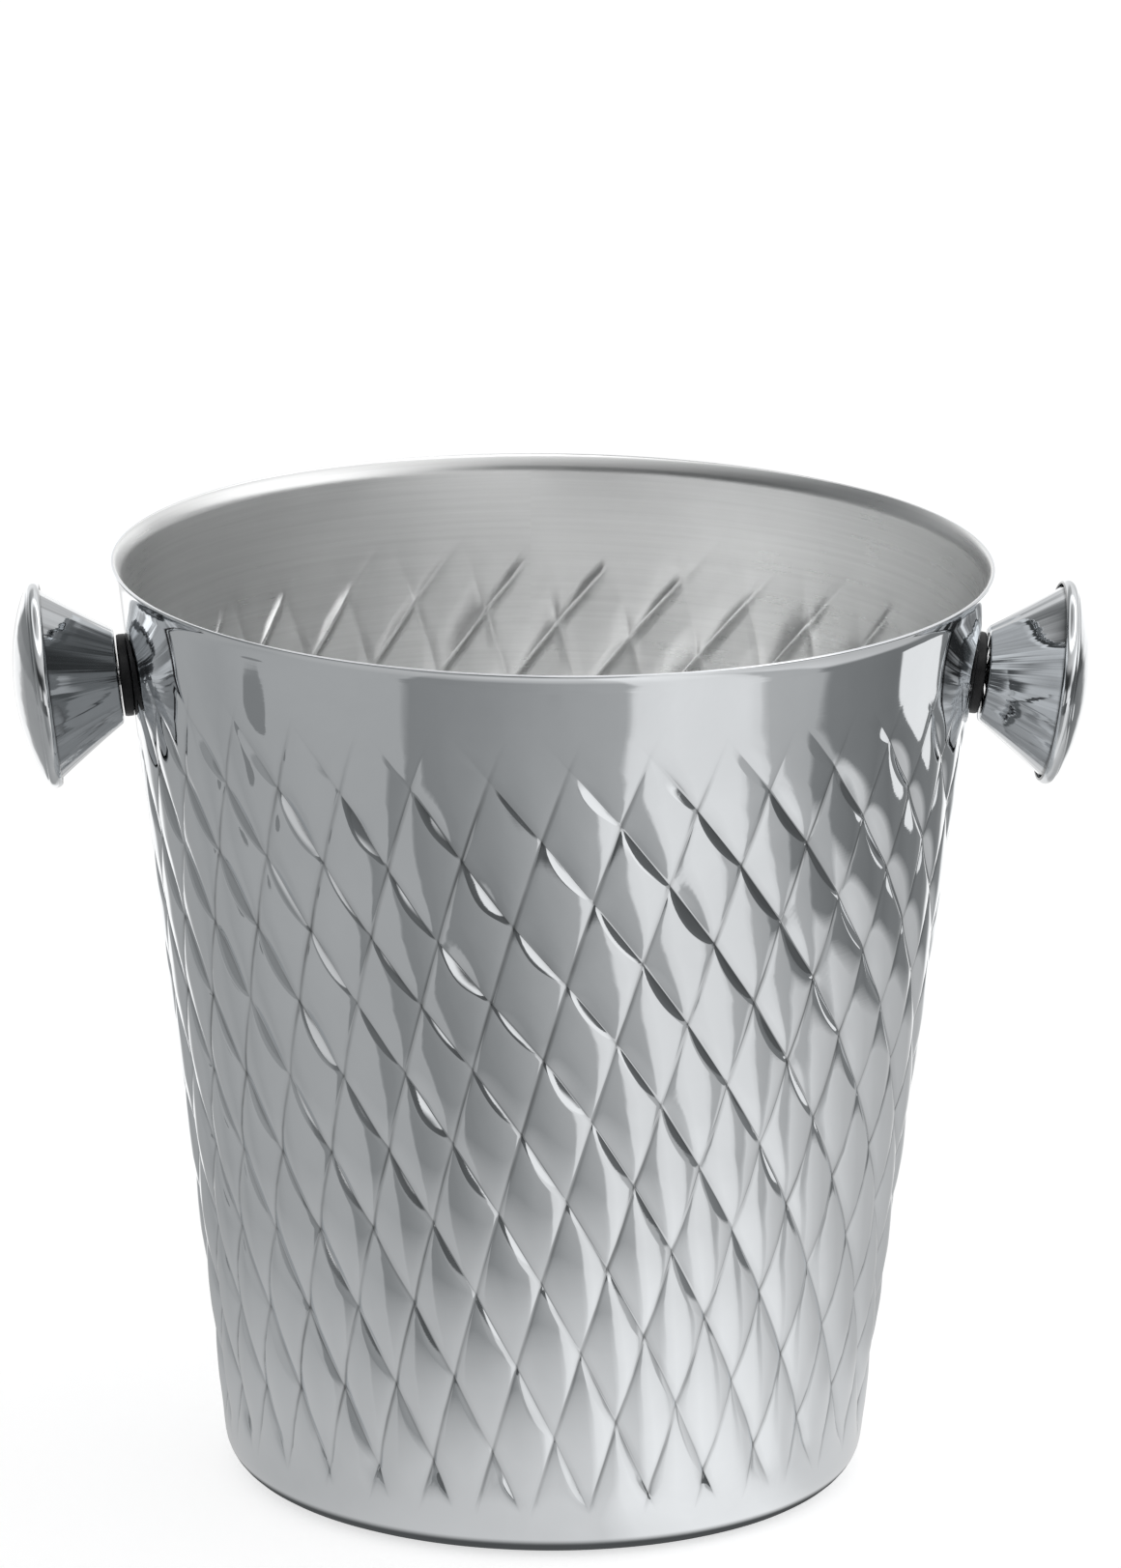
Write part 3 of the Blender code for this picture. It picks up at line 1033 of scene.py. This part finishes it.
# a bright patch in the dark sector to the right, and a small dark one to the left
for middle, half, ring, depth, value in ((112.0, 10.0, 0.625, 0.085, 0.74), (-82.5, 3.7, 0.537, 0.040, 0.19)):
    across = g.math("DIVIDE", g.math("SUBTRACT", share, turns(middle)), half / 360.0)
    along = g.math("DIVIDE", g.math("SUBTRACT", radius, ring), depth)
    reach = g.math("ADD", g.math("POWER", g.math("ABSOLUTE", across), 2.6), g.math("POWER", g.math("ABSOLUTE", along), 2.6))
    patch = g.range(g.math("ADD", reach, g.math("MULTIPLY", wave, 0.7)), 1.10, 0.90)
    colour = g.mix(patch, colour, cool(value))
# the shade under the heel
colour = g.mix(g.range(radius, 0.0765, 0.0815), cool(0.07), colour)
emit = g.node("ShaderNodeEmission")
g.put(emit.inputs["Color"], colour)
out = g.node("ShaderNodeOutputMaterial")
g.put(out.inputs["Surface"], emit.outputs[0])
mirror_mat.cycles.emission_sampling = "NONE"
sweep = stage_plane("sweep", 12.0, -0.002, mirror_mat)
sweep.rotation_euler = (0.0, 0.0, math.radians(-VIEW_TURN))
sweep.visible_camera = False
sweep.visible_diffuse = False
sweep.visible_shadow = False
sweep.visible_transmission = False

# What it mirrors above the horizon.
world = bpy.data.worlds.new("studio")
bpy.context.scene.world = world
world.use_nodes = True
world.node_tree.nodes.clear()
g = Graph(world.node_tree)
direction = g.node("ShaderNodeTexCoord").outputs["Generated"]
radius, heading, up = polar(g, direction)
elevation = g.math("MULTIPLY", g.math("ARCTAN2", up, radius), 180.0 / math.pi)
share = g.math("FRACT", g.math("ADD", g.math("DIVIDE", g.math("ADD", heading, math.radians(VIEW_TURN)), 2 * math.pi), 0.5))
low = g.ramp(share, [(turns(a), cool(v)) for a, v in CARDS])
lower = g.ramp(share, [(turns(a), cool(v)) for a, v in LOW_SKY])
middle = g.ramp(share, [(turns(a), cool(v)) for a, v in MID_SKY])
upper = g.ramp(g.math("DIVIDE", elevation, 90.0), [(0.5, 1.3), (0.58, 2.4), (0.66, 2.3), (0.76, 0.85), (1.0, 0.6)])
upper = g.mix(1.0, upper, g.ramp(share, [(turns(a), v) for a, v in ((-180, 0.7), (-150, 0.45), (-60, 0.5), (0, 1.0), (120, 1.0), (180, 0.7))]), "MULTIPLY")
glossy = g.mix(g.range(elevation, 3.0, 12.0), low, lower)
glossy = g.mix(g.range(elevation, 20.0, 34.0), glossy, middle)
glossy = g.mix(g.range(elevation, 44.0, 54.0), glossy, upper)
path = g.node("ShaderNodeLightPath")
background = g.mix(path.outputs["Is Diffuse Ray"], glossy, (0.46, 0.46, 0.46))
background = g.mix(path.outputs["Is Camera Ray"], background, (1.02, 1.02, 1.02))
shade = g.node("ShaderNodeBackground")
g.put(shade.inputs["Color"], background)
out = g.node("ShaderNodeOutputWorld")
g.put(out.inputs["Surface"], shade.outputs[0])
world.cycles.sampling_method = "NONE"

# ---------------------------------------------------------------- camera

camera = bpy.data.objects.new("camera", bpy.data.cameras.new("camera"))
bpy.context.scene.collection.objects.link(camera)
camera.data.sensor_fit = "HORIZONTAL"
camera.data.sensor_width = 36.0
camera.data.lens = FOCAL_PX * 36.0 / IMAGE_W
camera.data.clip_start = 0.05
camera.data.clip_end = 200.0
cp, sp = math.cos(CAM_PITCH), math.sin(CAM_PITCH)
forward = Vector((math.sin(CAM_YAW) * cp, math.cos(CAM_YAW) * cp, -sp))
right = Vector((math.cos(CAM_YAW), -math.sin(CAM_YAW), 0.0))
upward = right.cross(forward)
tilted = right * math.cos(CAM_ROLL) + upward * math.sin(CAM_ROLL)
raised = upward * math.cos(CAM_ROLL) - right * math.sin(CAM_ROLL)
pose = Matrix((tilted, raised, -forward)).transposed().to_4x4()
pose.translation = Vector((0.0, -CAM_DISTANCE, CAM_HEIGHT))
camera.matrix_world = Matrix.Rotation(math.radians(-VIEW_TURN), 4, "Z") @ pose
bpy.context.scene.camera = camera

view = bpy.context.scene.view_settings
view.view_transform = "Standard"
view.look = "None"
view.exposure = 0.0
view.gamma = 1.0
